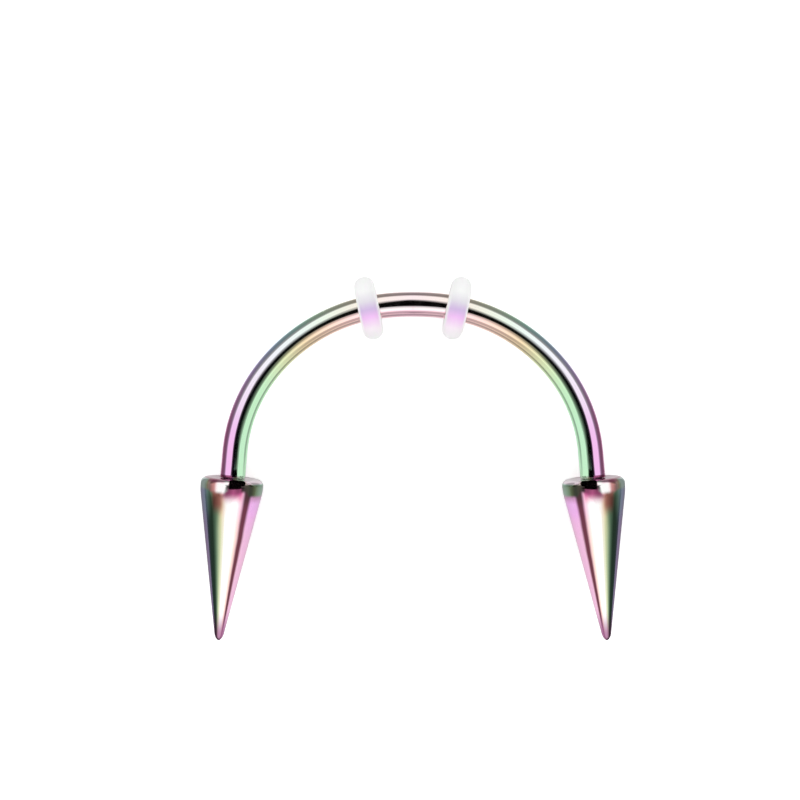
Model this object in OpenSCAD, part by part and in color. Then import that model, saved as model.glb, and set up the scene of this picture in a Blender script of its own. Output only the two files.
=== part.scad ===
// Horseshoe barbell: a bent bar with a screw-on spike at each end and two
// soft rings that stop it from wandering through the piercing.
//
// The barbell lies flat. +X runs across it, +Y points to the crown of the arch
// and +Z up, with the origin under the middle of its box, on the surface that
// it lies on. The right half is modelled and the left half is its mirror image.

/* [Bar] */
// Thickness of the bar
bar_d = 1.2; // [1:0.1:1.6]
// Clear width between the legs, where their bends end
inner_w = 16; // [14:0.5:18]
// Bend radius of the crown, to the middle of the bar
crown_r = 13.5; // [12:0.5:15]
// Angle that the crown's bend covers on each side of the middle
crown_angle = 5; // [3:1:7]
// Angle from the middle at which the haunch's bend meets the leg's
haunch_angle = 50; // [45:1:55]
// Bend radius of each leg, to the middle of the bar
leg_r = 7.4; // [6.8:0.1:7.8]
// Outward lean of each leg's straight end, and of its spike
splay = 5; // [2:1:8]
// Length of each leg's straight end
straight_l = 1.25; // [1:0.05:2]

/* [Posts] */
// Diameter of the post that a spike screws onto
post_d = 0.94; // [0.8:0.02:0.96]
// Length of a post
post_l = 2.5; // [2:0.1:3]
// Chamfer round the end of a post
post_chamfer = 0.1; // [0.05:0.05:0.15]

/* [Spikes] */
// Widest diameter of a spike
spike_d = 3; // [2.8:0.1:3.4]
// Length of a spike from its flat face to its tip
spike_l = 7.9; // [6:0.1:10]
// Radius of the edge round the flat face
rim_r = 0.3; // [0.2:0.05:0.4]
// Radius of the gentle curve that leads from the rim into the cone
shoulder_r = 3.3; // [3:0.1:4]
// Radius of the blunted tip
tip_r = 0.2; // [0.1:0.05:0.3]

/* [Rings] */
// Outer diameter of a soft ring, stretched over the bar
ring_d = 3.1; // [3.1:0.1:3.6]
// Thickness of a ring along the bar
ring_w = 1; // [0.8:0.1:1.2]
// Distance of each ring from the middle, across the arch
ring_x = 2.13; // [2:0.1:4]
// Radius of the inner corners of a ring's section
ring_corner_r = 0.2; // [0.1:0.05:0.25]

/* [Fits] */
// Gap between a post and the bore of its spike
bore_gap = 0.09; // [0.05:0.01:0.1]
// Depth of a bore past the end of its post
bore_spare = 0.2; // [0.1:0.1:0.4]
// Gap between a leg's end and the flat face of its spike
seat_gap = 0.01; // [0.01:0.01:0.03]
// Gap between a ring and the bar
ring_gap = 0.03; // [0.03:0.01:0.05]

/* [Hidden] */
$fn = 96;
steel_green = [0.56, 0.72, 0.6];
steel_pink = [0.8, 0.56, 0.7];
silicone = [0.93, 0.9, 0.96];

// Point at an angle from the crown's middle on a circle round c
function on_bend(c, r, angle) = c + r * [sin(angle), cos(angle)];

// Middle line of the bar: three bends that run into each other without a kink,
// counted from the top of the crown, then a straight end. The haunch's radius
// follows from the width, to a thousandth of a millimetre.
leg_end_angle = 90 - splay;
half_w = (inner_w + bar_d) / 2;
crown_reach = crown_r * sin(crown_angle);
leg_reach = leg_r * (sin(leg_end_angle) - sin(haunch_angle));
haunch_share = sin(haunch_angle) - sin(crown_angle);
haunch_r = round(1000 * (half_w - crown_reach - leg_reach) / haunch_share) / 1000;
crown_c = [0, -crown_r];
haunch_c = on_bend(crown_c, crown_r - haunch_r, crown_angle);
leg_c = on_bend(haunch_c, haunch_r - leg_r, haunch_angle);
leg_end = on_bend(leg_c, leg_r, leg_end_angle);
seat = leg_end + straight_l * [sin(splay), -cos(splay)];

// Each ring sits square to the bar, on the haunch's bend
ring_angle = asin((ring_x - haunch_c.x) / haunch_r);
ring_c = on_bend(haunch_c, haunch_r, ring_angle);
ring_mid_r = (ring_d - ring_w) / 2;
ring_bore_r = bar_d / 2 + ring_gap;

// The cone runs into the shoulder's curve and the tip's ball without a kink
spike_r = spike_d / 2;
inset = shoulder_r - spike_r;
drop = spike_l - tip_r - rim_r;
cone_angle = asin((shoulder_r - tip_r) / norm([inset, drop])) - atan2(inset, drop);
cone_top_r = shoulder_r * cos(cone_angle) - inset;
cone_top_z = rim_r + shoulder_r * sin(cone_angle);
cone_end_r = tip_r * cos(cone_angle);
cone_end_z = spike_l - tip_r + tip_r * sin(cone_angle);

// Highest and lowest reach along Y, which put the origin under the middle
top_y = ring_c.y + ring_mid_r * cos(ring_angle) + ring_w / 2;
tip_y = seat.y - (seat_gap + spike_l - tip_r) * cos(splay) - tip_r;
lift = [0, -(top_y + tip_y) / 2, ring_d / 2];

// Moves children across the arch in a coarse step and a fine one. A step is
// written out with six digits, and the two together lose nothing, so that the
// stretches of the bar meet face to face and join as one solid.
module place(at) {
    coarse = [for (v = at) round(v * 1000) / 1000];
    fine = at - coarse;
    translate([coarse.x, coarse.y, 0])
        translate([fine.x, fine.y, 0])
            children();
}

// Stretch of round bar bent round c, between two angles from the crown's middle
module bend(c, r, first, last) {
    place(c)
        rotate_extrude(angle = last - first, start = 90 - last)
            translate([r, 0])
                circle(d = bar_d);
}

// Puts children on the right leg's axis, with Z from the end of its bend to the tip
module on_leg() {
    place(leg_end)
        rotate([90, 0, splay])
            children();
}

// Plain post with a chamfered end, coaxial with the leg
module post() {
    cylinder(h = post_l - post_chamfer, d = post_d);
    translate([0, 0, post_l - post_chamfer])
        cylinder(h = post_chamfer, d1 = post_d, d2 = post_d - 2 * post_chamfer);
}

// Haunch, leg, straight end and post of the right half
module half_bar() {
    bend(haunch_c, haunch_r, crown_angle, haunch_angle);
    bend(leg_c, leg_r, haunch_angle, leg_end_angle);
    on_leg() {
        cylinder(h = straight_l, d = bar_d);
        translate([0, 0, straight_l])
            post();
    }
}

module bar() {
    color(steel_green)
        translate(lift) {
            bend(crown_c, crown_r, -crown_angle, crown_angle);
            half_bar();
            mirror([1, 0, 0])
                half_bar();
        }
}

// Half outline of a spike: radius along X, depth below the flat face along Y
module spike_outline() {
    square([spike_r - rim_r, rim_r]);
    intersection() {
        translate([spike_r - rim_r, rim_r])
            circle(rim_r);
        translate([spike_r - rim_r, 0])
            square([rim_r, rim_r]);
    }
    intersection() {
        translate([-inset, rim_r])
            circle(shoulder_r);
        translate([0, rim_r])
            square([spike_r, cone_top_z - rim_r]);
    }
    polygon([[0, cone_top_z], [cone_top_r, cone_top_z], [cone_end_r, cone_end_z], [0, cone_end_z]]);
    intersection() {
        translate([0, spike_l - tip_r])
            circle(tip_r);
        translate([0, cone_end_z])
            square([tip_r, spike_l - cone_end_z]);
    }
}

// Spike on the right leg, with the blind bore that takes the post
module spike() {
    translate(lift)
        on_leg()
            translate([0, 0, straight_l + seat_gap])
                difference() {
                    rotate_extrude()
                        spike_outline();
                    translate([0, 0, -1])
                        cylinder(h = 1 + post_l + bore_spare, d = post_d + 2 * bore_gap);
                }
}

module spike_right() {
    color(steel_pink)
        spike();
}

module spike_left() {
    color(steel_pink)
        mirror([1, 0, 0])
            spike();
}

// Half section of a ring: round outside, and flattened where it grips the bar
module ring_section() {
    grip_w = ring_w - 2 * ring_corner_r;
    corner_x = ring_bore_r + ring_corner_r;
    intersection() {
        translate([ring_mid_r, 0])
            circle(d = ring_w);
        translate([ring_mid_r, -ring_w / 2])
            square([ring_w / 2, ring_w]);
    }
    translate([corner_x, -ring_w / 2])
        square([ring_mid_r - corner_x, ring_w]);
    translate([ring_bore_r, -grip_w / 2])
        square([ring_corner_r, grip_w]);
    for (side = [-1, 1])
        intersection() {
            translate([corner_x, side * grip_w / 2])
                circle(ring_corner_r);
            translate([corner_x - ring_corner_r, side * (grip_w + ring_corner_r) / 2 - ring_corner_r / 2])
                square(ring_corner_r);
        }
}

// Soft ring on the right haunch
module ring() {
    translate(lift)
        place(ring_c)
            rotate([0, 90, -ring_angle])
                rotate_extrude()
                    ring_section();
}

module ring_right() {
    color(silicone)
        ring();
}

module ring_left() {
    color(silicone)
        mirror([1, 0, 0])
            ring();
}

bar();
spike_left();
spike_right();
ring_left();
ring_right();
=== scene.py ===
"""Looks of a horseshoe barbell: a bent bar, two cone spikes and two soft stop rings.

The barbell lies flat and is seen from straight above. Lengths are in metres, and
angles along the arch are counted from the middle of its crown.
"""

import math

import bpy
from bpy.props import FloatProperty, FloatVectorProperty, IntProperty, PointerProperty
from bpy.types import Operator, Panel, PropertyGroup
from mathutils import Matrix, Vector, noise


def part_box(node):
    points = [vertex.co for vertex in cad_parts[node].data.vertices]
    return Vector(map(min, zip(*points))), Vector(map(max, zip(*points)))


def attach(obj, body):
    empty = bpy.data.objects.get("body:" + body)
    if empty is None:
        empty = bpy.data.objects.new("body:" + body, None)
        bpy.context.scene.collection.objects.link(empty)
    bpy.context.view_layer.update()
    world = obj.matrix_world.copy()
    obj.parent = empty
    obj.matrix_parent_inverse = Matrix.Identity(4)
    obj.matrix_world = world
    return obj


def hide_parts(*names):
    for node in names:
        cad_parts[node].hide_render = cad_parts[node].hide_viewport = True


bl_info = {
    "name": "Horseshoe Barbell",
    "version": (1, 0, 0),
    "blender": (4, 5, 0),
    "location": "3D View > Sidebar > Barbell",
    "description": "Builds the rainbow steel bar, its spikes and its soft rings",
    "category": "Add Mesh",
}

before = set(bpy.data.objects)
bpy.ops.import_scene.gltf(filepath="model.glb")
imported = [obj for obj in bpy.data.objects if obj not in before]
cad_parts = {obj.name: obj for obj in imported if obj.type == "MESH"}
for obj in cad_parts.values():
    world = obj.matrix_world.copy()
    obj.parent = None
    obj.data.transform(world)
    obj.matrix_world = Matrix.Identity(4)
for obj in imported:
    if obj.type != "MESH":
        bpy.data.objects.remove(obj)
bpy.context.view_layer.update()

MM = 0.001
UM = 0.000001
SIDES = {"left": -1, "right": 1}
BAR_LOW, BAR_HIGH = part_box("bar")
RING_LOW, RING_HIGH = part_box("ring_right")
AXIS_Z = (BAR_LOW.z + BAR_HIGH.z) / 2

# Distance between the bar's rounds in its bends, and how many rounds its straight ends have
BEND_STEP = 0.07 * MM
STRAIGHT_ROUNDS = 8
# Rounds of vertices in one turn of a post's thread and of a bore's
POST_ROUNDS = 14
BORE_ROUNDS = 10
# Groove between a post's thread and the seat, and the softened edge of the seat
RELIEF = 0.12 * MM
SEAT_EDGE = 0.03 * MM
# Point of a bore's drill, as a share of its radius
DRILL_POINT = 0.3
# How far the coating is rubbed off between a post's threads and in a bore
ROOT_WEAR = 0.3
BORE_WEAR = 0.7
# Depth at which a ring stops following the bar's bend, and the size of its swells
SOFT_DEPTH = 0.3 * MM
SWELL_SIZE = 0.7 * MM

# Inputs of a material that gives back no light
UNLIT = {"Base Color": (0, 0, 0, 1), "Specular IOR Level": 0.0}


def length(name, about, default):
    """A property that holds a length in metres."""
    return FloatProperty(name=name, description=about, default=default, unit="LENGTH", precision=6)


def angle(name, about, degrees):
    """A property that holds an angle."""
    return FloatProperty(
        name=name, description=about, default=math.radians(degrees), subtype="ANGLE", unit="ROTATION"
    )


def colour(name, about, default):
    """A property that holds a colour, in linear light."""
    return FloatVectorProperty(
        name=name, description=about, default=default, subtype="COLOR", size=3, min=0, max=1
    )


class BarSizes(PropertyGroup):
    """Sizes of the bent bar and its threaded posts."""

    thickness: length("Thickness", "Diameter of the bar", 1.2 * MM)
    inner_width: length("Inner width", "Clear width between the legs", 16 * MM)
    crown_radius: length("Crown radius", "Bend of the crown, to the middle of the bar", 13.5 * MM)
    leg_radius: length("Leg radius", "Bend of each leg, to the middle of the bar", 7.4 * MM)
    crown_angle: angle("Crown angle", "Reach of the crown's bend on each side", 5)
    haunch_angle: angle("Haunch angle", "Where the haunch's bend meets the leg's", 50)
    splay: angle("Splay", "Outward lean of the straight ends and the spikes", 5)
    straight: length("Straight end", "Length of each straight end", 1.25 * MM)
    top: length("Top", "Height of the crown's middle line in the frame", BAR_HIGH.y - 0.6 * MM)
    post_length: length("Post length", "Length of each threaded post", 2.5 * MM)
    thread_crest: length("Thread crest", "Radius at the top of the thread", 0.535 * MM)
    thread_root: length("Thread root", "Radius at the bottom of the thread", 0.43 * MM)
    pitch: length("Pitch", "Advance of the thread in one turn", 0.25 * MM)
    end_radius: length("End radius", "Radius of the post's flat end", 0.37 * MM)
    sides: IntProperty(name="Sides", description="Faces round the bar", default=96, min=24)


class SpikeSizes(PropertyGroup):
    """Sizes of the cone spikes."""

    diameter: length("Diameter", "Widest diameter", 3 * MM)
    polish: length("Polish", "Depth that polishing takes off all round", 0.002 * MM)
    length: length("Length", "From the flat face to the tip", 7.9 * MM)
    rim: length("Rim radius", "Radius of the edge round the flat face", 0.3 * MM)
    shoulder: length("Shoulder radius", "Curve from the rim into the cone", 3.3 * MM)
    tip: length("Tip radius", "Radius of the blunted tip", 0.2 * MM)
    seat_gap: length("Seat gap", "Gap between the leg's end and the flat face", 0.01 * MM)
    bore: length("Bore radius", "Radius at the bottom of the bore's thread", 0.565 * MM)
    bore_crest: length("Bore crest", "Radius at the top of the bore's thread", 0.545 * MM)
    bore_depth: length("Bore depth", "Depth of the threaded bore", 2.7 * MM)
    mouth: length("Mouth", "Width of the chamfer round the bore", 0.07 * MM)
    sides: IntProperty(name="Sides", description="Faces round the spike", default=144, min=24)


class RingSizes(PropertyGroup):
    """Sizes of the soft rings."""

    diameter: length("Diameter", "Outer diameter", RING_HIGH.z - RING_LOW.z)
    width: length("Width", "Thickness along the bar", 1 * MM)
    place: length("Place", "Distance from the middle, across the arch", 2.13 * MM)
    corner: length("Corner", "Radius of the inner corners", 0.2 * MM)
    grip: length("Grip", "Gap between the ring and the bar", 0.004 * MM)
    seam: length("Seam", "Height of the mould's parting line", 0.012 * MM)
    seam_width: length("Seam width", "Width of the mould's parting line", 0.03 * MM)
    swell: length("Swell", "How far the soft surface wanders", 0.008 * MM)
    sides: IntProperty(name="Sides", description="Faces round the ring", default=144, min=24)


class FilmColours(PropertyGroup):
    """Colours of the coating, in the order in which they follow each other, and tones laid over it, several
    of them painted highlights and painted dark reflections.
    """

    rose: colour("Rose", "Start and end of the order", (0.92, 0.58, 0.68))
    peach: colour("Peach", "Between rose and sand", (0.94, 0.66, 0.56))
    sand: colour("Sand", "Between peach and lime", (0.82, 0.65, 0.42))
    lime: colour("Lime", "Between sand and mint", (0.7, 0.76, 0.46))
    mint: colour("Mint", "Between lime and teal", (0.56, 0.88, 0.58))
    teal: colour("Teal", "Between mint and slate", (0.5, 0.84, 0.74))
    slate: colour("Slate", "Between teal and violet", (0.5, 0.62, 0.84))
    violet: colour("Violet", "Between slate and orchid", (0.66, 0.5, 0.86))
    orchid: colour("Orchid", "Between violet and rose", (0.88, 0.46, 0.84))
    # Painted highlight: a pale tone laid where the metal's highlights fall, over the real reflections.
    painted_pale: colour("Champagne", "Where the coating is thin", (0.97, 0.95, 0.94))
    # Painted dark reflection: the dark red line down the inner side of a spike.
    painted_maroon: colour("Maroon", "Darkest line on the inner side of a spike", (0.14, 0.03, 0.05))
    # Partly painted dark reflection: deepens the reflected dark line down the outer side of a spike.
    painted_forest: colour("Forest", "Darkest line on the outer side of a spike", (0.16, 0.34, 0.2))
    # Painted dark reflection: dark red under the rim and beside the white spot.
    painted_red_brown: colour("Rust", "Under the rim, on the outer side", (0.4, 0.12, 0.1))
    # Painted dark reflection below a spike's black rectangle; on the bar it partly deepens the reflected
    # dark line along the outer side; also laid on the top of the rim's outer side.
    magenta: colour("Magenta", "Under the rim, on the inner side", (0.58, 0.12, 0.3))
    # On the rim's inner edge a painted highlight; on the flat face, paler towards its inner side.
    pearl: colour("Pearl", "Inner edge of the flat face", (0.8, 0.68, 0.75))
    wine: colour("Wine", "Flat face", (0.34, 0.15, 0.2))
    plum: colour("Plum", "Tip of a spike", (0.36, 0.13, 0.27))
    # Painted dark reflection: near-black on the rim's inner side, at the top of a spike's inner line and
    # along the bar's inner edge.
    painted_black: colour("Night", "Darkest part of the rim", (0.03, 0.03, 0.025))
    # Painted dark reflection: dark green on the inner side of the rim.
    painted_dark_green: colour("Moss", "Inner side of the rim", (0.11, 0.14, 0.07))
    steel: colour("Steel", "Where the threads have rubbed the coating off", (0.6, 0.57, 0.55))


class SiliconeColours(PropertyGroup):
    """Colours of the soft rings, from their outer side to their inner side. Haze, lilac, pink and blush are
    the coated bar's colours, painted in where the bar would show through the silicone.
    """

    clear: colour("Clear", "Away from the bar", (0.87, 0.88, 0.87))
    haze: colour("Haze", "Next to the bar", (0.74, 0.72, 0.77))
    lilac: colour("Lilac", "Over the bar", (0.64, 0.5, 0.74))
    pink: colour("Pink", "Inside the bar", (0.84, 0.55, 0.86))
    blush: colour("Blush", "On the inner side", (0.92, 0.83, 0.9))
    flank: colour("Flank", "On both flanks", (0.97, 0.97, 0.97))


class StageSettings(PropertyGroup):
    """Camera, floor and light."""

    look_x: length("Look X", "Point under the camera, across the arch", -0.617 * MM)
    look_y: length("Look Y", "Point under the camera, along the spikes", 2.833 * MM)
    height: length("Height", "Camera above the bar's middle line", 46.3 * MM)
    lens: FloatProperty(name="Lens", description="Focal length", default=43.06, unit="CAMERA")
    sensor: FloatProperty(name="Sensor", description="Width of the sensor", default=36, unit="CAMERA")
    floor: length("Floor", "Width of the floor", 1.2)
    paper: colour("Paper", "Colour of the floor", (0.93, 0.93, 0.93))
    sky: FloatProperty(name="Sky", description="Soft light from all round", default=0.9, min=0)
    lift: FloatProperty(name="Lift", description="Light added to the floor as seen", default=0.35)


# Meshes


def turned(rings, sides, closed):
    """Faces between rings of vertices that follow each other."""
    faces = []
    for i in range(rings if closed else rings - 1):
        here, there = i * sides, (i + 1) % rings * sides
        for k in range(sides):
            after = (k + 1) % sides
            faces.append((here + k, here + after, there + after, there + k))
    return faces


def mirrored(faces, side):
    """Faces of the right side, turned over where they are used on the left side."""
    return faces if side > 0 else [tuple(reversed(face)) for face in faces]


def turns(sides):
    """Angles of a full turn, one for each side."""
    return [2 * math.pi * k / sides for k in range(sides)]


def new_object(name, vertices, faces, marks, material):
    """An object with a float mark on each vertex for each entry of marks."""
    mesh = bpy.data.meshes.new(name)
    mesh.from_pydata(vertices, [], faces)
    mesh.validate()
    for mark, values in marks.items():
        mesh.attributes.new(mark, "FLOAT", "POINT").data.foreach_set("value", values)
    mesh.materials.append(material)
    made = bpy.data.objects.new(name, mesh)
    bpy.context.scene.collection.objects.link(made)
    return made


def make_piece(name, vertices, faces, marks, material, node, body):
    """A smooth piece that stands for a node."""
    piece = new_object(name, vertices, faces, marks, material)
    piece.data.shade_smooth()
    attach(piece, body)
    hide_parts(node)


def arc(centre, radius, first, last, steps):
    """Points of an arc, without its first point. Angles count from the first axis."""
    points = []
    for i in range(1, steps + 1):
        a = first + (last - first) * i / steps
        points.append((centre[0] + radius * math.cos(a), centre[1] + radius * math.sin(a)))
    return points


def line(start, end, steps):
    """Points on a straight line, without its first point."""
    return [
        (start[0] + (end[0] - start[0]) * i / steps, start[1] + (end[1] - start[1]) * i / steps)
        for i in range(1, steps + 1)
    ]


def thread_height(turn):
    """Height of a thread, from 0 at its root to 1 at its crest, at a share of a turn."""
    root, flank = 0.18, 0.64
    rise = 1 - abs(2 * (turn % 1) - 1)
    return min(1, max(0, (rise - root) / flank))


class Arch:
    """Middle line of the bar: three bends on each side, without a kink, and a straight end."""

    def __init__(self, sizes):
        s = sizes
        half = (s.inner_width + s.thickness) / 2
        end = math.pi / 2 - s.splay
        crown_reach = s.crown_radius * math.sin(s.crown_angle)
        leg_reach = s.leg_radius * (math.sin(end) - math.sin(s.haunch_angle))
        share = math.sin(s.haunch_angle) - math.sin(s.crown_angle)
        haunch_radius = (half - crown_reach - leg_reach) / share
        crown = (0.0, s.top - s.crown_radius)
        haunch = self.on(crown, s.crown_radius - haunch_radius, s.crown_angle)
        leg = self.on(haunch, haunch_radius - s.leg_radius, s.haunch_angle)
        self.bends = (
            (crown, s.crown_radius, 0.0, s.crown_angle),
            (haunch, haunch_radius, s.crown_angle, s.haunch_angle),
            (leg, s.leg_radius, s.haunch_angle, end),
        )
        self.end_angle = end
        self.leg_end = self.on(leg, s.leg_radius, end)

    @staticmethod
    def on(centre, radius, at):
        """Point at an angle from the crown's middle on a circle."""
        return (centre[0] + radius * math.sin(at), centre[1] + radius * math.cos(at))

    @staticmethod
    def directions(at):
        """Directions out of the arch and on along the bar."""
        return Vector((math.sin(at), math.cos(at), 0)), Vector((math.cos(at), -math.sin(at), 0))

    def beyond(self, distance):
        """Point on the straight end, at a distance from the last bend."""
        x, y = self.leg_end
        return (x + distance * math.cos(self.end_angle), y - distance * math.sin(self.end_angle))

    def half(self, step):
        """Points of the right half, each with the angle that the bar's outer side faces."""
        points = [(*self.on(self.bends[0][0], self.bends[0][1], 0.0), 0.0)]
        for centre, radius, first, last in self.bends:
            steps = math.ceil((last - first) * radius / step)
            for i in range(1, steps + 1):
                a = first + (last - first) * i / steps
                points.append((*self.on(centre, radius, a), a))
        return points


def post_rounds(sizes, side):
    """(distance from the seat, radius at an angle) for each round of vertices on a post."""
    chamfer = sizes.thread_crest - sizes.end_radius
    thread = sizes.thread_crest - sizes.thread_root
    reach = sizes.thickness / 2
    rounds = [(0.0, lambda around: reach - SEAT_EDGE), (0.0, lambda around: sizes.thread_root)]
    steps = round(sizes.post_length / sizes.pitch * POST_ROUNDS)
    for i in range(1, steps + 1):
        far = sizes.post_length * i / steps

        def radius(around, far=far):
            turn = far / sizes.pitch - side * around / (2 * math.pi)
            started = min(1, max(0, (far - RELIEF) / sizes.pitch))
            full = sizes.thread_root + thread * thread_height(turn) * started
            return min(full, sizes.end_radius + max(0, min(chamfer, sizes.post_length - far)))

        rounds.append((far, radius))
    return rounds


def build_bar(settings, material):
    """The bar and its two threaded posts, as one closed skin."""
    sizes, arch = settings.bar, Arch(settings.bar)
    bar_radius, sides = sizes.thickness / 2, sizes.sides
    half = arch.half(BEND_STEP)
    for i in range(1, STRAIGHT_ROUNDS + 1):
        far = (sizes.straight - SEAT_EDGE) * i / STRAIGHT_ROUNDS
        half.append((*arch.beyond(far), arch.end_angle))
    thread = sizes.thread_crest - sizes.thread_root
    vertices, along, outward, worn = [], [], [], []

    def add(x, y, facing, radius_at, share, threaded=False):
        for around in turns(sides):
            radius = radius_at(around)
            out, up = radius * math.cos(around), radius * math.sin(around)
            vertices.append((x + out * math.sin(facing), y + out * math.cos(facing), AXIS_Z + up))
            along.append(share)
            outward.append(math.cos(around))
            proud = min(1, (radius - sizes.thread_root) / thread)
            worn.append(ROOT_WEAR + (1 - ROOT_WEAR) * proud if threaded else 0.0)

    for far, radius_at in reversed(post_rounds(sizes, -1)):
        x, y = arch.beyond(sizes.straight + far)
        add(-x, y, -arch.end_angle, radius_at, 1.0, far > 0)
    for x, y, facing in reversed(half[1:]):
        add(-x, y, -facing, lambda around: bar_radius, facing / arch.end_angle)
    for x, y, facing in half:
        add(x, y, facing, lambda around: bar_radius, facing / arch.end_angle)
    for far, radius_at in post_rounds(sizes, 1):
        x, y = arch.beyond(sizes.straight + far)
        add(x, y, arch.end_angle, radius_at, 1.0, far > 0)
    faces = turned(len(vertices) // sides, sides, closed=False)
    last = len(vertices) - sides
    faces.append(tuple(reversed(range(sides))))
    faces.append(tuple(range(last, last + sides)))
    marks = {"along": along, "outward": outward, "worn": worn}
    make_piece("bar_polished", vertices, faces, marks, material, "bar", "bar")


def spike_profile(s):
    """Half outline of a spike, (radius, depth below the flat face), from the bore's mouth to the tip."""
    reach = s.diameter / 2 - s.polish
    inset, drop = s.shoulder - reach, s.length - s.tip - s.rim
    slope = math.asin((s.shoulder - s.tip) / math.hypot(inset, drop)) - math.atan2(inset, drop)
    points = [(s.bore + s.mouth, 0.0)]
    points += line(points[-1], (reach - s.rim, 0.0), 6)
    points += arc((reach - s.rim, s.rim), s.rim, -math.pi / 2, 0, 20)
    points += arc((-inset, s.rim), s.shoulder, 0, slope, 20)
    top = points[-1]
    fall = math.tan(slope)
    taper = s.length - 2 * s.tip
    points += line(top, (top[0] - (taper - top[1]) * fall, taper), 48)
    steps = 16
    for i in range(1, steps):
        share = i / steps
        depth = taper + (s.length - s.polish - taper) * share
        blunted = (1 - share**3) ** 0.7
        points.append(((top[0] - (depth - top[1]) * fall) * blunted, depth))
    return points


def bore_rounds(s, pitch, side):
    """(depth, radius at an angle) for each round of vertices down the threaded bore."""
    rounds = []
    steps = round(s.bore_depth / pitch * BORE_ROUNDS)
    for i in range(steps + 1):
        depth = s.mouth + (s.bore_depth - s.mouth) * i / steps

        def radius(around, depth=depth):
            turn = depth / pitch - side * around / (2 * math.pi) + 0.5
            return s.bore - (s.bore - s.bore_crest) * thread_height(turn)

        rounds.append((depth, radius))
    return rounds


def build_spike(settings, side_name, material):
    """One cone spike with its threaded bore, as one closed skin."""
    s, arch, side = settings.spike, Arch(settings.bar), SIDES[side_name]
    sides = s.sides
    origin = Vector((*arch.beyond(settings.bar.straight + s.seat_gap), AXIS_Z))
    outer, down = arch.directions(arch.end_angle)
    vertices, depths, outward, worn = [], [], [], []

    def point(radius, depth, around):
        up = Vector((0, 0, radius * math.sin(around)))
        at = origin + down * depth + outer * (radius * math.cos(around)) + up
        return (side * at.x, at.y, at.z)

    def add(radius_at, depth, wear=0.0):
        for around in turns(sides):
            vertices.append(point(radius_at(around), depth, around))
            depths.append(depth / MM)
            outward.append(math.cos(around))
            worn.append(wear)

    for depth, radius_at in reversed(bore_rounds(s, settings.bar.pitch, side)):
        add(radius_at, depth, BORE_WEAR)
    for radius, depth in spike_profile(s):
        add(lambda around, radius=radius: radius, depth)
    faces = turned(len(vertices) // sides, sides, closed=False)
    last, hub, tip = len(vertices) - sides, len(vertices), len(vertices) + 1
    vertices.append(point(0, s.bore_depth + s.bore * DRILL_POINT, 0))
    vertices.append(point(0, s.length - s.polish, 0))
    depths += [s.bore_depth / MM, s.length / MM]
    outward += [0.0, 0.0]
    worn += [BORE_WEAR, 0.0]
    faces += [(hub, (k + 1) % sides, k) for k in range(sides)]
    faces += [(last + k, last + (k + 1) % sides, tip) for k in range(sides)]
    marks = {"depth": depths, "outward": outward, "worn": worn}
    solid = f"spike_{side_name}"
    faces = mirrored(faces, side)
    make_piece(f"{solid}_polished", vertices, faces, marks, material, solid, solid)


def ring_outline(s, bar_radius):
    """Closed outline of a ring's section, (radius from the bar's middle line, place along the bar)."""
    bore, middle = bar_radius + s.grip, (s.diameter - s.width) / 2
    round_radius = s.width / 2 - s.seam
    flat = s.width / 2 - s.corner
    corner = bore + s.corner
    outline = [(corner, -s.width / 2)]
    outline += line(outline[-1], (middle, -s.width / 2), 4)
    for across, along in arc((middle, 0), s.width / 2, -math.pi / 2, math.pi / 2, 48):
        turn = math.atan2(along, across - middle)
        proud = math.exp(-((along / s.seam_width) ** 2))
        reach = round_radius + s.seam * max(proud, math.sin(turn) ** 2)
        outline.append((middle + reach * math.cos(turn), along))
    outline += line(outline[-1], (corner, s.width / 2), 4)
    outline += arc((corner, flat), s.corner, math.pi / 2, math.pi, 8)
    outline += line(outline[-1], (bore, -flat), 8)
    outline += arc((corner, -flat), s.corner, math.pi, 1.5 * math.pi, 8)
    return outline[:-1]


def build_ring(settings, side_name, material):
    """One soft ring. Its bore follows the bend of the bar that it grips."""
    s, arch, side = settings.ring, Arch(settings.bar), SIDES[side_name]
    bar_radius = settings.bar.thickness / 2
    centre, bend_radius, _, _ = arch.bends[1]
    facing = math.asin((s.place - centre[0]) / bend_radius)
    middle = Vector((*arch.on(centre, bend_radius, facing), AXIS_Z))
    outer, ahead = arch.directions(facing)
    vertices, outward, flank = [], [], []
    outline = ring_outline(s, bar_radius)
    for radius, place in outline:
        stiff = min(1, max(0, (radius - bar_radius) / SOFT_DEPTH))
        for around in turns(s.sides):
            out = radius * math.cos(around)
            up = Vector((0, 0, radius * math.sin(around)))
            straight = middle + outer * out + ahead * place + up
            a = facing + place / bend_radius
            bent = Vector((*arch.on(centre, bend_radius + out, a), AXIS_Z)) + up
            at = bent.lerp(straight, stiff)
            seed = Vector((at.x * side, at.y, at.z)) / SWELL_SIZE
            at -= (at - middle).normalized() * (s.swell * stiff * (0.5 + 0.5 * noise.noise(seed)))
            vertices.append((side * at.x, at.y, at.z))
            outward.append(out / (s.diameter / 2))
            flank.append(abs(place) / (s.width / 2))
    faces = mirrored(turned(len(outline), s.sides, closed=True), side)
    marks = {"outward": outward, "flank": flank}
    solid = f"ring_{side_name}"
    make_piece(f"{solid}_soft", vertices, faces, marks, material, solid, "bar")


# Shaders


def new_material(name):
    """A material with only its output and a Principled shader, as (material, tree, shader)."""
    material = bpy.data.materials.new(name)
    material.use_nodes = True
    tree = material.node_tree
    return material, tree, tree.nodes["Principled BSDF"]


def feed(tree, target, inputs):
    """Sets inputs of a node to values, or links them from sockets."""
    for key, value in inputs.items():
        if isinstance(value, bpy.types.NodeSocket):
            tree.links.new(value, target.inputs[key])
        else:
            target.inputs[key].default_value = value


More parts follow.
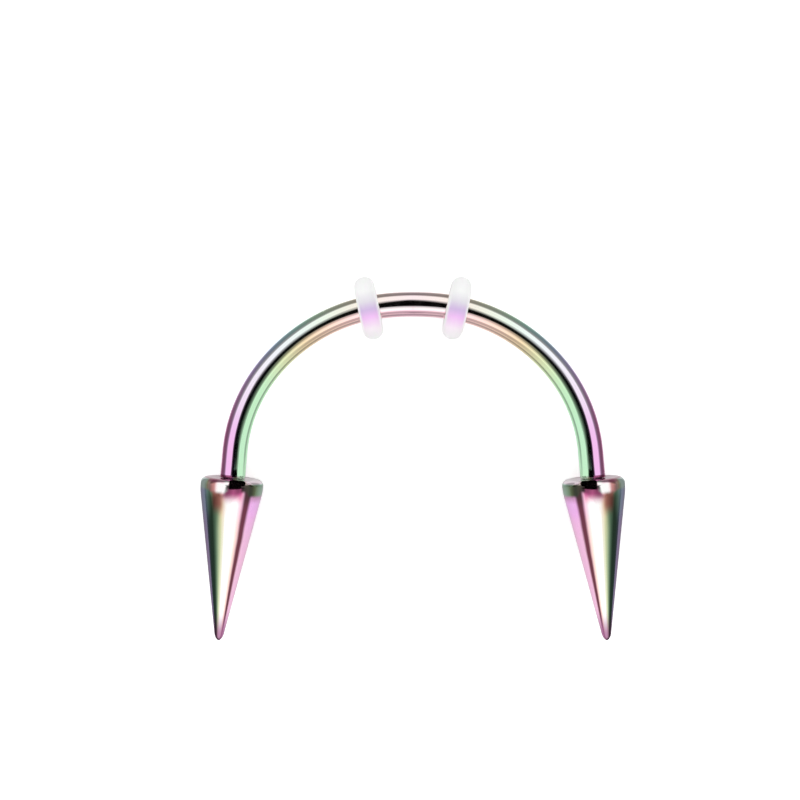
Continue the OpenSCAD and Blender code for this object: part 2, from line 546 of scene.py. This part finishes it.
def node(tree, kind, inputs=None, **settings):
    """A new node with its settings and its inputs."""
    made = tree.nodes.new(kind)
    for key, value in settings.items():
        setattr(made, key, value)
    feed(tree, made, inputs or {})
    return made


def object_position(tree):
    """Place on the piece, in metres."""
    return node(tree, "ShaderNodeTexCoord").outputs["Object"]


def cloud(tree, position, scale, detail):
    """Soft noise between 0 and 1."""
    inputs = {"Vector": position, "Scale": scale, "Detail": detail}
    return node(tree, "ShaderNodeTexNoise", inputs).outputs["Fac"]


def spread(tree, value, low, high, first=0.0, last=1.0, **settings):
    """A value between low and high, brought to between first and last."""
    inputs = {"Value": value, "From Min": low, "From Max": high, "To Min": first, "To Max": last}
    return node(tree, "ShaderNodeMapRange", inputs, **settings).outputs["Result"]


def bumped(tree, height, strength, distance):
    """Normals of a surface that rises with a height."""
    inputs = {"Height": height, "Strength": strength, "Distance": distance}
    return node(tree, "ShaderNodeBump", inputs).outputs["Normal"]


def ramp(tree, value, stops):
    """Colours along a value, from (place, colour) stops."""
    made = node(tree, "ShaderNodeValToRGB", {"Fac": value})
    elements = made.color_ramp.elements
    while len(elements) < len(stops):
        elements.new(0.5)
    for element, (place, shade) in zip(elements, stops):
        element.position = place
        element.color = (*shade, 1)
    return made.outputs["Color"]


def curve(tree, value, low, high, points):
    """A smooth curve through (input, output) points. Inputs run from low to high, outputs from 0 to 1."""
    made = node(tree, "ShaderNodeFloatCurve", {"Value": spread(tree, value, low, high)})
    line_points = made.mapping.curves[0].points
    while len(line_points) < len(points):
        line_points.new(0.5, 0.5)
    for target, (place, level) in zip(line_points, points):
        target.location = ((place - low) / (high - low), level)
    made.mapping.update()
    return made.outputs["Value"]


def maths(tree, operation, *values):
    """A Math node's result."""
    return node(tree, "ShaderNodeMath", dict(enumerate(values)), operation=operation).outputs[0]


def mixed(tree, share, first, second):
    """A mix of two colours."""
    return node(tree, "ShaderNodeMix", {0: share, 6: first, 7: second}, data_type="RGBA").outputs[2]


def step(tree, value, low, high, first=0.0, last=1.0):
    """A smooth step from one value to another."""
    return spread(tree, value, low, high, first, last, interpolation_type="SMOOTHSTEP")


def blended(tree, share, first, second):
    """A mix of two values."""
    return node(tree, "ShaderNodeMix", {0: share, 2: first, 3: second}, data_type="FLOAT").outputs[0]


def both(tree, first, second):
    """Where two masks meet."""
    return maths(tree, "MULTIPLY", first, second)


def band(tree, value, rise, fall):
    """A mask that rises between two values and falls between two others."""
    return both(tree, step(tree, value, *rise), step(tree, value, *fall, 1.0, 0.0))


def overlaid(tree, shade, *overlays):
    """A colour with others laid over it in turn, each given as (colour, the masks that it lies in): among
    them real wear, painted highlights and painted dark reflections.
    """
    for overlay, share, *masks in overlays:
        for mask in masks:
            share = both(tree, share, mask)
        shade = mixed(tree, share, shade, (*overlay, 1))
    return shade


def attribute(tree, name):
    """A float mark of the mesh."""
    return node(tree, "ShaderNodeAttribute", attribute_name=name).outputs["Fac"]


def new_group(name, inputs, outputs):
    """A node group, as (group, sockets of its inputs, its output node)."""
    group = bpy.data.node_groups.new(name, "ShaderNodeTree")
    for in_out, sockets in (("INPUT", inputs), ("OUTPUT", outputs)):
        for title, kind in sockets.items():
            group.interface.new_socket(title, in_out=in_out, socket_type=f"NodeSocket{kind}")
    return group, group.nodes.new("NodeGroupInput").outputs, group.nodes.new("NodeGroupOutput")


def film_group(colours):
    """The coating's colour at an order of interference, which wanders a little over the surface, with a
    painted highlight's pale tone laid over it by a share.
    """
    inputs = {"Order": "Float", "Painted highlight": "Float", "Position": "Vector"}
    group, given, result = new_group("Rainbow film", inputs, {"Color": "Color"})
    patches = cloud(group, given["Position"], 420.0, 3.0)
    wander = maths(group, "MULTIPLY", maths(group, "SUBTRACT", patches, 0.5), 0.03)
    order = maths(group, "FRACT", maths(group, "ADD", given["Order"], wander))
    shade = ramp(group, order, [
        (0.0, colours.rose),
        (0.11, colours.peach),
        (0.21, colours.sand),
        (0.31, colours.lime),
        (0.43, colours.mint),
        (0.54, colours.teal),
        (0.64, colours.slate),
        (0.75, colours.violet),
        (0.87, colours.orchid),
        (1.0, colours.rose),
    ])
    # Painted highlight: the pale tone mixed in by the given share.
    feed(group, result, {"Color": overlaid(group, shade, (colours.painted_pale, given["Painted highlight"]))})
    return group


def polish_group():
    """Marks of polishing: fine scratches and a faint waviness, and a haze where the coating is rubbed."""
    inputs, outputs = {"Position": "Vector", "Worn": "Float"}, {"Roughness": "Float", "Height": "Float"}
    group, given, result = new_group("Polish marks", inputs, outputs)
    position = given["Position"]
    cells = {"Vector": position, "Scale": 14000.0}
    grit = node(group, "ShaderNodeTexVoronoi", cells, feature="DISTANCE_TO_EDGE").outputs["Distance"]
    scratches = spread(group, grit, 0.0, 0.06, 1.0, 0.0)
    haze = spread(group, cloud(group, position, 2600.0, 4.0), 0.35, 0.75, 0.05, 0.11)
    scuffed = maths(group, "MULTIPLY", given["Worn"], 0.12)
    wave = cloud(group, position, 900.0, 1.0)
    feed(group, result, {
        "Roughness": maths(group, "ADD", haze, scuffed),
        "Height": maths(group, "ADD", wave, maths(group, "MULTIPLY", scratches, 0.02)),
    })
    return group


def finish_steel(parts, shade, groups, colours):
    """Gives a mirror-polished metal its colour, its polishing marks and the wear of its threads."""
    material, tree, shader = parts
    worn = attribute(tree, "worn")
    given = {"Position": object_position(tree), "Worn": worn}
    polish = node(tree, "ShaderNodeGroup", given, node_tree=groups["polish"]).outputs
    feed(tree, shader, {
        "Base Color": overlaid(tree, shade, (colours.steel, worn, 0.5)),
        "Metallic": 1.0,
        "Roughness": polish["Roughness"],
        "Normal": bumped(tree, polish["Height"], 1.0, 1.2 * UM),
    })
    return material


def film_colour(tree, groups, order, painted_highlight):
    """The coating's colour from an order of interference, with a painted highlight's pale tone laid over it
    by a share.
    """
    inputs = {"Order": order, "Painted highlight": painted_highlight, "Position": object_position(tree)}
    return node(tree, "ShaderNodeGroup", inputs, node_tree=groups["film"]).outputs["Color"]


def bar_material(groups, colours):
    """Coated steel. Its colours run along the arch, twice as fast on its outer side as on its inner one.
    Painted highlights, a painted dark line and a partly painted darker edge lie over them.
    """
    parts = new_material("Rainbow bar")
    tree = parts[1]
    along, outward = attribute(tree, "along"), attribute(tree, "outward")
    levels = {
        "outer": [
            (0, 0.02), (0.21, 0.27), (0.41, 0.53), (0.53, 0.64), (0.65, 0.75), (0.77, 0.81), (1, 0.88),
        ],
        "inner": [(0, 0.0), (0.21, 0.07), (0.41, 0.2), (0.53, 0.31), (0.65, 0.4), (0.8, 0.43), (1, 0.44)],
        # The next two curves: how much painted highlight lies on the top and outer side, and on the crown's
        # inner side, along the arch.
        "top_highlight": [(0, 0.62), (0.3, 0.65), (0.53, 0.75), (0.75, 0.55), (0.9, 0.15), (1, 0.05)],
        "pale": [(0, 0.55), (0.05, 0.8), (0.12, 0.55), (0.21, 0.15), (0.32, 0.0), (1, 0.0)],
    }
    run = {name: curve(tree, along, 0, 1, points) for name, points in levels.items()}
    share = step(tree, outward, -0.3, -0.05)
    order = blended(tree, share, run["inner"], run["outer"])
    # Painted highlight: pale on the crown's inner side and over the top and outer side, less towards the
    # outer edge.
    crown = both(tree, step(tree, outward, -0.62, -0.42), run["pale"])
    at_edge = step(tree, along, 0.25, 0.42, 0.6, 0.1)
    on_top = both(tree, run["top_highlight"], step(tree, outward, 0.5, 0.72, 1.0, at_edge))
    near_seat = step(tree, along, 0.6, 0.95, 0.0, 0.72)
    inner_edge = band(tree, outward, (-0.82, -0.74), (-0.66, -0.56))
    shade = overlaid(
        tree,
        film_colour(tree, groups, order, blended(tree, share, crown, on_top)),
        # Partly painted dark reflection: magenta on the legs' outer side deepens the reflected dark line
        # there.
        (colours.magenta, step(tree, outward, 0.45, 0.72), near_seat),
        # Painted dark reflection: a near-black line along the inner edge, strongest near the crown.
        (colours.painted_black, inner_edge, step(tree, along, 0.35, 0.6, 0.44, 0.0)),
    )
    return finish_steel(parts, shade, groups, colours)


def cone_colour(tree, groups, colours, outward, depth):
    """The coating of the cone, with painted light on it: a painted white strip between a dark green line,
    partly reflection and partly painted, and a painted dark red line; and a pink side.
    """
    order = curve(tree, outward, -1, 1, [
        (-1, 0.1), (-0.82, 0.1), (-0.6, 0.18), (-0.45, 0.25), (-0.25, 0.3), (-0.1, 0.39),
        (0.1, 0.45), (0.3, 0.53), (0.45, 0.61), (0.6, 0.75), (0.8, 0.91), (1, 0.95),
    ])
    drift = curve(tree, depth, 0, 8, [(0, 0.0), (1.2, 0.0), (2.0, 0.6), (3.5, 1.0), (8, 1.0)])
    order = maths(tree, "ADD", order, maths(tree, "MULTIPLY_ADD", drift, 0.09, -0.24))
    # Painted highlight: a pale strip down the cone, laid over a real reflection that is bright all over.
    white = band(tree, outward, (-0.5, -0.32), (-0.1, 0.18))
    inner_side = step(tree, outward, -0.82, -0.7, 0.6, 0.0)
    leaning = maths(tree, "ADD", outward, step(tree, depth, 1.0, 2.6, 0.1, 0.0))
    under_rim = band(tree, depth, (0.35, 0.5), (1.1, 1.8))
    outer_side = band(tree, outward, (-0.02, 0.22), (0.38, 0.54))
    middle = band(tree, outward, (-0.58, -0.44), (-0.02, 0.24))
    inner_line = band(tree, outward, (-0.8, -0.69), (-0.61, -0.5))
    return overlaid(
        tree,
        film_colour(tree, groups, order, white),
        (colours.wine, inner_side, step(tree, depth, 0.75, 1.15, 1.0, 0.0)),
        # Partly painted dark reflection: deepens the reflected dark line down the outer side.
        (colours.painted_forest, band(tree, leaning, (0.18, 0.42), (0.58, 0.78)), 0.85),
        # Painted dark reflection: dark red under the rim on the outer side.
        (colours.painted_red_brown, outer_side, under_rim, 0.9),
        # Painted dark reflection: magenta below the black rectangle, fading down the cone.
        (colours.magenta, middle, step(tree, depth, 0.55, 1.2, 1.0, 0.0)),
        # Painted dark reflection: the dark red line down the inner side, near-black next to the rim.
        (colours.painted_maroon, inner_line, 0.97),
        (colours.painted_black, inner_line, step(tree, depth, 0.7, 1.4, 0.6, 0.0)),
        (colours.plum, step(tree, depth, 6.2, 7.6), 0.9),
    )


def rim_colour(tree, groups, colours, outward, depth):
    """The coating of the flat face and of the rim round it, with a painted white spot, painted dark
    reflections beside it and on the inner side, and a painted highlight on the inner edge.
    """
    order = curve(tree, outward, -1, 1, [
        (-1, 0.6), (-0.8, 0.55), (-0.62, 0.3), (-0.4, 0.1), (0.0, 0.1), (0.3, 0.12), (0.55, 0.16),
        (0.68, 0.4), (0.8, 0.6), (1, 0.62),
    ])
    # Painted highlight: pale for the white spot, over the lamp's reflection, and along the outer side of
    # the rim.
    spot = band(tree, outward, (-0.1, 0.0), (0.24, 0.42))
    painted_highlight = maths(tree, "MAXIMUM", spot, step(tree, outward, 0.6, 0.75, 0.0, 0.45))
    under_spot = band(tree, outward, (-0.62, -0.5), (-0.1, 0.02))
    inner_side = both(tree, step(tree, outward, -0.76, -0.64, 1.0, 0.0), step(tree, depth, 0.1, 0.25))
    # Painted dark reflection: the near-black band on the inner side of the rim.
    shadow = band(tree, outward, (-0.9, -0.7), (-0.5, -0.4))
    edge = step(tree, outward, -0.66, -0.5, 1.0, 0.0)
    top = both(tree, band(tree, outward, (0.0, 0.18), (0.6, 0.75)), step(tree, depth, 0.1, 0.2, 1.0, 0.0))
    rim = overlaid(
        tree,
        film_colour(tree, groups, maths(tree, "SUBTRACT", order, 0.08), painted_highlight),
        # Painted dark reflection: dark red beside the white spot on its outer side.
        (colours.painted_red_brown, band(tree, outward, (0.3, 0.42), (0.5, 0.6)), 0.75),
        # Painted dark reflection: magenta below the black rectangle.
        (colours.magenta, under_spot, step(tree, depth, 0.28, 0.36, 0.0, 0.95)),
        # Painted dark reflection: dark green on the inner side.
        (colours.painted_dark_green, inner_side, step(tree, outward, -1.0, -0.8, 0.7, 1.0)),
        # Painted dark reflection: near-black on the inner side.
        (colours.painted_black, shadow, step(tree, depth, 0.1, 0.2), 0.96),
        # Painted highlight: pale along the inner edge next to the flat face.
        (colours.pearl, edge, step(tree, depth, 0.12, 0.2, 1.0, 0.0)),
        (colours.magenta, top, 0.6),
    )
    flat = mixed(tree, step(tree, outward, -0.8, -0.4), (*colours.pearl, 1), (*colours.wine, 1))
    return mixed(tree, step(tree, depth, 0.01, 0.07), flat, rim)


def spike_material(groups, colours):
    """Coated steel whose colours run round the spike and change from its rim to its tip, with painted
    highlights and painted dark reflections laid over them.
    """
    parts = new_material("Rainbow spike")
    tree = parts[1]
    patches = cloud(tree, object_position(tree), 700.0, 2.0)
    wander = maths(tree, "MULTIPLY_ADD", patches, 0.05, -0.025)
    outward, depth = maths(tree, "ADD", attribute(tree, "outward"), wander), attribute(tree, "depth")
    lag = step(tree, outward, -0.72, -0.58, 0.22, 0.0)
    lag = maths(tree, "MULTIPLY_ADD", band(tree, outward, (-0.03, 0.06), (0.5, 0.62)), 0.1, lag)
    below = step(tree, maths(tree, "SUBTRACT", depth, lag), 0.42, 0.62)
    rim = rim_colour(tree, groups, colours, outward, depth)
    cone = cone_colour(tree, groups, colours, outward, depth)
    return finish_steel(parts, mixed(tree, below, rim, cone), groups, colours)


def silicone_material(colours):
    """Frosted soft silicone. Where it lies over the coated bar, the bar's colours showing through it are
    painted into its colour.
    """
    material, tree, shader = new_material("Frosted silicone")
    share = maths(tree, "MULTIPLY_ADD", attribute(tree, "outward"), 0.5, 0.5)
    # Painted see-through colour: the bar's colours laid into the silicone's colour by place across the bar.
    painted_show_through = ramp(tree, share, [
        (0.0, colours.clear),
        (0.15, colours.blush),
        (0.32, colours.pink),
        (0.43, colours.lilac),
        (0.56, colours.haze),
        (0.72, colours.clear),
        (1.0, colours.clear),
    ])
    on_flank = step(tree, attribute(tree, "flank"), 0.68, 1.0)
    dust = cloud(tree, object_position(tree), 5200.0, 5.0)
    feed(tree, shader, {
        "Base Color": overlaid(tree, painted_show_through, (colours.flank, on_flank)),
        "Roughness": spread(tree, dust, 0.3, 0.7, 0.5, 0.66),
        "Normal": bumped(tree, dust, 1.0, 3 * UM),
        "IOR": 1.41,
        "Subsurface Weight": 1.0,
        "Subsurface Radius": (1.0, 0.9, 1.0),
        "Subsurface Scale": 0.35 * MM,
        "Transmission Weight": 0.12,
        "Sheen Weight": 0.3,
        "Sheen Roughness": 0.45,
    })
    return material


# Stage


def stage_plane(name, corners, material):
    """A flat stage piece through its four corners."""
    made = new_object(name, corners, [(0, 1, 2, 3)], {}, material)
    return made


def flat_card(name, low, high, height, material):
    """A level stage piece between two corners."""
    outline = (low, (high[0], low[1]), high, (low[0], high[1]))
    return stage_plane(name, [(x, y, height) for x, y in outline], material)


def only_reflected(card):
    """Shows a card in the metal and nowhere else."""
    for ray in ("camera", "diffuse", "shadow", "transmission", "volume_scatter"):
        setattr(card, f"visible_{ray}", False)


def paper_material(s):
    """Pale paper. In the metal it is dark outside the arch, paler in it and bright between the spikes."""
    material, tree, shader = new_material("Pale paper")
    position = object_position(tree)
    place = node(tree, "ShaderNodeSeparateXYZ", {0: position}).outputs
    above = maths(tree, "MULTIPLY", maths(tree, "MAXIMUM", place["Y"], 0.0), 1.15)
    across = node(tree, "ShaderNodeCombineXYZ", {"X": place["X"], "Y": above}).outputs[0]
    distance = node(tree, "ShaderNodeVectorMath", {0: across}, operation="LENGTH").outputs["Value"]
    between_spikes = step(tree, place["Y"], -2.5 * MM, 0.0, 1.0, 0.0)
    inside = mixed(tree, between_spikes, (0.4, 0.4, 0.4, 1), (0.85, 0.85, 0.85, 1))
    swept = mixed(tree, step(tree, distance, 8.3 * MM, 9.1 * MM), inside, (0.26, 0.26, 0.26, 1))
    from_bar = maths(tree, "ABSOLUTE", maths(tree, "SUBTRACT", distance, 8.6 * MM))
    near_bar = step(tree, from_bar, 1.6 * MM, 3.6 * MM, 1.0, 0.0)
    close = both(tree, near_bar, step(tree, place["Y"], -1.6 * MM, -0.6 * MM))
    swept = mixed(tree, close, swept, (0.95, 0.95, 0.95, 1))
    path = node(tree, "ShaderNodeLightPath").outputs
    seen = maths(tree, "MAXIMUM", path["Is Camera Ray"], path["Is Transmission Ray"])
    feed(tree, shader, {
        "Base Color": mixed(tree, path["Is Glossy Ray"], (*s.paper, 1), swept),
        "Roughness": 0.9,
        "Specular IOR Level": 0.0,
        "Normal": bumped(tree, cloud(tree, position, 900.0, 3.0), 0.2, 10 * UM),
        "Emission Color": (1, 1, 1, 1),
        "Emission Strength": maths(tree, "MULTIPLY", seen, s.lift),
    })
    return material


def glow_material(name, strength):
    """An even glow for a card."""
    material, tree, shader = new_material(name)
    feed(tree, shader, {**UNLIT, "Emission Color": (1, 1, 1, 1), "Emission Strength": strength})
    return material


def veil_material():
    """Dark gauze that thins out towards its edges and is lighter where its glow says."""
    material, tree, shader = new_material("Dark gauze")
    glow, veil = attribute(tree, "glow"), attribute(tree, "veil")
    feed(tree, shader, {**UNLIT, "Emission Color": glow, "Emission Strength": 1.0, "Alpha": veil})
    return material


def gauze_strip(name, columns, closed, material):
    """A gauze of equal columns of (point in millimetres, veil, glow), shown only in the metal."""
    rows, count = len(columns[0]), len(columns)
    entries = [entry for column in columns for entry in column]
    vertices = [[v * MM for v in point] for point, _, _ in entries]
    marks = {"veil": [veil for _, veil, _ in entries], "glow": [glow for _, _, glow in entries]}
    faces = []
    for i in range(count if closed else count - 1):
        here, there = i * rows, (i + 1) % count * rows
        faces += [(here + k, there + k, there + k + 1, here + k + 1) for k in range(rows - 1)]
    made = new_object(name, vertices, faces, marks, material)
    only_reflected(made)


def build_gauze(material):
    """A low dark fence round the barbell, which draws the dark lines along the metal."""
    posts = [
        ((0.0, 15.5), 1.6, 4.0, 0.22),
        ((5.5, 14.8), 3.1, 5.6, 0.26),
        ((10.5, 12.2), 5.0, 7.6, 0.26),
        ((14.5, 7.8), 4.5, 7.4, 0.26),
        ((16.4, 2.5), 4.7, 7.2, 0.26),
        ((16.8, 0.0), 4.0, 6.8, 0.26),
        ((17.0, -2.6), 4.0, 8.0, 0.2),
        ((17.0, -5.0), 5.0, 20.0, 0.08),
        ((17.0, -12.0), 5.0, 20.0, 0.08),
        ((15.0, -17.0), 3.0, 8.0, 0.2),
        ((8.0, -19.5), 1.6, 4.0, 0.3),
        ((0.0, -20.0), 1.6, 4.0, 0.3),
    ]
    posts += [((-x, y), solid, top, shine) for (x, y), solid, top, shine in reversed(posts[1:-1])]
    columns = []
    for (x, y), solid, top, shine in posts:
        column = [((x, y, 0.0), 1.0, shine), ((x, y, solid), 1.0, shine)]
        for share in (0.25, 0.5, 0.75, 1.0):
            column.append(((x, y, solid + (top - solid) * share), (1 - share) ** 1.5, shine))
        columns.append(column)
    gauze_strip("gauze_fence", columns, True, material)


def build_camera_shade(material):
    """The dark underside of the camera, which draws the black line along the top of the bar."""
    high = 34.0
    half = [
        (0.0, 38.0, 26.0, 1.0),
        (4.5, 34.0, 13.0, 1.0),
        (8.4, 33.0, 3.0, 1.0),
        (11.0, 23.0, 3.5, 0.95),
        (14.5, 20.0, 5.0, 0.85),
        (19.0, 16.0, 2.0, 0.62),
        (24.0, 12.0, -6.0, 0.52),
        (29.0, 5.0, -6.0, 0.35),
        (38.0, -3.0, -6.0, 0.0),
    ]
    outline = [(-x, *rest) for x, *rest in reversed(half[1:])] + half
    columns = []
    for x, top, full, dark in outline:
        slide = min(1, abs(x) / 24)
        rows = (
            (-18.0, 0.0),
            (-12.0 - 2 * slide, dark * (0.28 + 0.6 * slide)),
            (-7.0 - 2 * slide, dark * (0.45 + 0.55 * slide)),
            (-3.5 - 2 * slide, dark),
            (full, dark),
            (top, 0.0),
        )
        columns.append([((x, y, high), veil, 0.0) for y, veil in rows])
    gauze_strip("camera_shade", columns, False, material)


def build_inner_gauze(settings, side_name, material):
    """A dark ribbon above the inner side of a leg, which widens the black line along it."""
    arch, side = Arch(settings.bar), SIDES[side_name]
    height, darkest, start, reach = 5.0, 0.8, 20, 67
    columns = []
    for x, y, facing in arch.half(1 * MM):
        share = min(1, max(0, (math.degrees(facing) - start) / reach))
        thick = darkest * math.sin(math.pi * share**1.6)
        column = []
        for inward, level in ((0.6, 1.0), (1.5, 1.0), (2.9, 0.4), (4.4, 0.0)):
            across = x / MM - inward * math.sin(facing)
            along = y / MM - inward * math.cos(facing)
            column.append(((side * across, along, height), thick * level, 0.0))
        columns.append(column)
    gauze_strip(f"inner_gauze_{side_name}", columns, False, material)


def build_hood(settings, side_name, material):
    """A small dark hood beside a spike's flat face, which its rim reflects as a black rectangle."""
    arch, side = Arch(settings.bar), SIDES[side_name]
    origin = Vector((*arch.beyond(settings.bar.straight + settings.spike.seat_gap), 0)) / MM
    outer, down = arch.directions(arch.end_angle)
    columns = []
    for near, lean in ((-0.07, 0.0), (-0.73, -0.77)):
        column = []
        for out, depth, height in (
            (0.82 * near, -0.12, 2.3),
            (near + lean, -0.12, 3.3),
            (near + 3 * lean, -0.12, 5.5),
            (near + 6 * lean, 0.85, 5.5),
        ):
            place = origin + outer * out + down * depth
            column.append(((place.x * side, place.y, height), 1.0, 0.0))
        columns.append(column)
    gauze_strip(f"hood_{side_name}", columns, False, material)


def build_lamp(side_name, material):
    """A round lamp with a soft edge, which a spike's shoulder reflects as a white spot."""
    x, y, height, shine = 20.8 * SIDES[side_name], 0.6, 21.0, 1.04
    columns = []
    for around in turns(48):
        across, along = math.cos(around), math.sin(around)
        columns.append([
            ((x + wide * across, y + high * along, height), thickness, shine)
            for wide, high, thickness in ((0.01, 0.01, 1.0), (7.4, 8.6, 1.0), (9.2, 10.5, 0.0))
        ])
    gauze_strip(f"lamp_{side_name}", columns, True, material)


def build_world(s):
    """Soft light from all round, bright overhead and dimmer towards the horizon in the metal."""
    world = bpy.data.worlds.new("Soft studio")
    bpy.context.scene.world = world
    world.use_nodes = True
    tree = world.node_tree
    direction = node(tree, "ShaderNodeTexCoord").outputs["Generated"]
    up = node(tree, "ShaderNodeSeparateXYZ", {0: direction}).outputs["Z"]
    levels = ((0.0, 0.78), (0.08, 0.94), (0.22, 1.05), (1.0, 1.05))
    dome = ramp(tree, up, [(height, (level,) * 3) for height, level in levels])
    path = node(tree, "ShaderNodeLightPath").outputs
    even = mixed(tree, path["Is Camera Ray"], (s.sky, s.sky, s.sky, 1), (1, 1, 1, 1))
    light = mixed(tree, path["Is Glossy Ray"], even, dome)
    feed(tree, tree.nodes["Background"], {"Color": light, "Strength": 1.0})


def softbox(name, direction, distance, size, radiance):
    """A rectangular light that faces the middle of the arch from a direction."""
    data = bpy.data.lights.new(name, "AREA")
    data.shape = "RECTANGLE"
    data.size, data.size_y = size
    data.energy = radiance * math.pi * size[0] * size[1]
    light = bpy.data.objects.new(name, data)
    towards = Vector(direction).normalized()
    light.location = towards * distance
    light.rotation_euler = towards.to_track_quat("Z", "Y").to_euler()
    light.visible_glossy = False
    bpy.context.scene.collection.objects.link(light)


def build_stage(settings):
    """Camera, pale floor, soft light, and the cards and gauzes that only the metal shows."""
    s = settings.stage
    scene = bpy.context.scene
    scene.view_settings.view_transform = "Standard"
    data = bpy.data.cameras.new("Camera")
    data.sensor_width, data.lens = s.sensor, s.lens
    data.clip_start = 1 * MM
    camera = bpy.data.objects.new("Camera", data)
    camera.location = (s.look_x, s.look_y, AXIS_Z + s.height)
    scene.collection.objects.link(camera)
    scene.camera = camera
    half = s.floor / 2
    flat_card("floor", (-half, -half), (half, half), 0.0, paper_material(s))
    gauze, white = veil_material(), glow_material("White card", 1.25)
    build_camera_shade(gauze)
    build_gauze(gauze)
    only_reflected(flat_card("spike_card", (-14 * MM, -40 * MM), (14 * MM, -12 * MM), 21 * MM, white))
    pale = glow_material("Pale card", 1.0)
    for name, first, last, top in (("tall_card", -20.0, -0.55, 6.5), ("low_card", -0.55, 1.0, 1.3)):
        corners = [(0, first, 0), (0, last, 0), (0, last, top), (0, first, top)]
        corners = [(x, y * MM, z * MM) for x, y, z in corners]
        only_reflected(stage_plane(name, corners, pale))
    for side_name in SIDES:
        build_lamp(side_name, gauze)
        build_hood(settings, side_name, gauze)
        build_inner_gauze(settings, side_name, gauze)
    side_size = (150 * MM, 220 * MM)
    softbox("front_box", (0, -0.62, 0.78), 300 * MM, (300 * MM, 150 * MM), 1.1)
    softbox("left_box", (-0.66, 0.4, 0.68), 300 * MM, side_size, 1.25)
    softbox("right_box", (0.66, 0.4, 0.68), 300 * MM, side_size, 1.25)
    build_world(s)


# Add-on


class BarbellSettings(PropertyGroup):
    """All that a user would change."""

    bar: PointerProperty(type=BarSizes)
    spike: PointerProperty(type=SpikeSizes)
    ring: PointerProperty(type=RingSizes)
    film: PointerProperty(type=FilmColours)
    silicone: PointerProperty(type=SiliconeColours)
    stage: PointerProperty(type=StageSettings)


def shared_groups(settings):
    """The node groups that the steel materials share, made once."""
    return {
        "film": bpy.data.node_groups.get("Rainbow film") or film_group(settings.film),
        "polish": bpy.data.node_groups.get("Polish marks") or polish_group(),
    }


class BARBELL_OT_stage(Operator):
    """Makes the camera, the pale floor and the soft light"""

    bl_idname = "barbell.stage"
    bl_label = "Make Stage"

    def execute(self, context):
        build_stage(context.scene.barbell)
        return {"FINISHED"}


class BARBELL_OT_bar(Operator):
    """Makes the bent bar with its threaded posts"""

    bl_idname = "barbell.bar"
    bl_label = "Make Bar"

    def execute(self, context):
        settings = context.scene.barbell
        build_bar(settings, bar_material(shared_groups(settings), settings.film))
        return {"FINISHED"}


class BARBELL_OT_spikes(Operator):
    """Makes the two cone spikes"""

    bl_idname = "barbell.spikes"
    bl_label = "Make Spikes"

    def execute(self, context):
        settings = context.scene.barbell
        material = spike_material(shared_groups(settings), settings.film)
        for side_name in SIDES:
            build_spike(settings, side_name, material)
        return {"FINISHED"}


class BARBELL_OT_rings(Operator):
    """Makes the two soft rings"""

    bl_idname = "barbell.rings"
    bl_label = "Make Rings"

    def execute(self, context):
        settings = context.scene.barbell
        material = silicone_material(settings.silicone)
        for side_name in SIDES:
            build_ring(settings, side_name, material)
        return {"FINISHED"}


MAKERS = (BARBELL_OT_stage, BARBELL_OT_bar, BARBELL_OT_spikes, BARBELL_OT_rings)


class BARBELL_PT_panel(Panel):
    """Sizes, colours and buttons"""

    bl_idname = "BARBELL_PT_panel"
    bl_label = "Horseshoe Barbell"
    bl_space_type = "VIEW_3D"
    bl_region_type = "UI"
    bl_category = "Barbell"

    def draw(self, context):
        settings = context.scene.barbell
        for part in ("bar", "spike", "ring", "film", "silicone", "stage"):
            box = self.layout.box()
            box.label(text=part.capitalize())
            values = getattr(settings, part)
            for key in values.bl_rna.properties.keys():
                if key not in {"rna_type", "name"}:
                    box.prop(values, key)
        for maker in MAKERS:
            self.layout.operator(maker.bl_idname)


CLASSES = (
    BarSizes,
    SpikeSizes,
    RingSizes,
    FilmColours,
    SiliconeColours,
    StageSettings,
    BarbellSettings,
    *MAKERS,
    BARBELL_PT_panel,
)


def register():
    """Registers the classes and puts the settings on the scene."""
    for cls in CLASSES:
        bpy.utils.register_class(cls)
    bpy.types.Scene.barbell = PointerProperty(type=BarbellSettings)


def unregister():
    """Undoes what register does."""
    del bpy.types.Scene.barbell
    for cls in reversed(CLASSES):
        bpy.utils.unregister_class(cls)


def main():
    """Builds the stage and the pieces."""
    register()
    bpy.ops.barbell.stage()
    bpy.ops.barbell.bar()
    bpy.ops.barbell.spikes()
    bpy.ops.barbell.rings()


if __name__ == "__main__":
    main()
